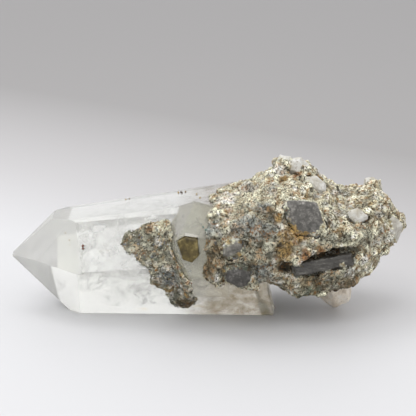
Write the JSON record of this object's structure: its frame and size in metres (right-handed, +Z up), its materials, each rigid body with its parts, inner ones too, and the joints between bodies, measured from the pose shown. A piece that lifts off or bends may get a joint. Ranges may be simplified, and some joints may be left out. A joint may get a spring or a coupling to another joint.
{
  "type": "quartz point",
  "caption": "Natural clear quartz point lying on a prism face, its base grown through rough matrix rock set with small pale and smoky crystals.",
  "frame": {"origin": "on the prism face that the point rests on, at the middle of its length", "axes": "+X from the point's tip towards the rock, +Y away from the side that shows the crust, +Z up"},
  "size_m": [0.1305, 0.0595, 0.0524],
  "materials": {
    "clear_quartz": "clear with milky veils",
    "matrix_rock": "rough, grainy, rust-stained",
    "crust": "rough, grainy",
    "olive_grain": "dull, waxy",
    "smoky_quartz": "smoky, half clear",
    "pale_quartz": "milky, half clear"
  },
  "bodies": {
    "root": {"quartz_point": "clear_quartz", "matrix_rock": "matrix_rock", "crust_patch": "crust", "olive_grain": "olive_grain", "smoky_blade": "smoky_quartz", "smoky_plate": "smoky_quartz", "grey_lens_upper": "smoky_quartz", "grey_lens_lower": "smoky_quartz", "top_quartz_left": "pale_quartz", "top_quartz_right": "pale_quartz", "slope_quartz": "pale_quartz", "horn_quartz": "pale_quartz", "pale_quartz": "pale_quartz", "end_quartz": "pale_quartz", "base_quartz": "pale_quartz"}
  },
  "joints": []
}
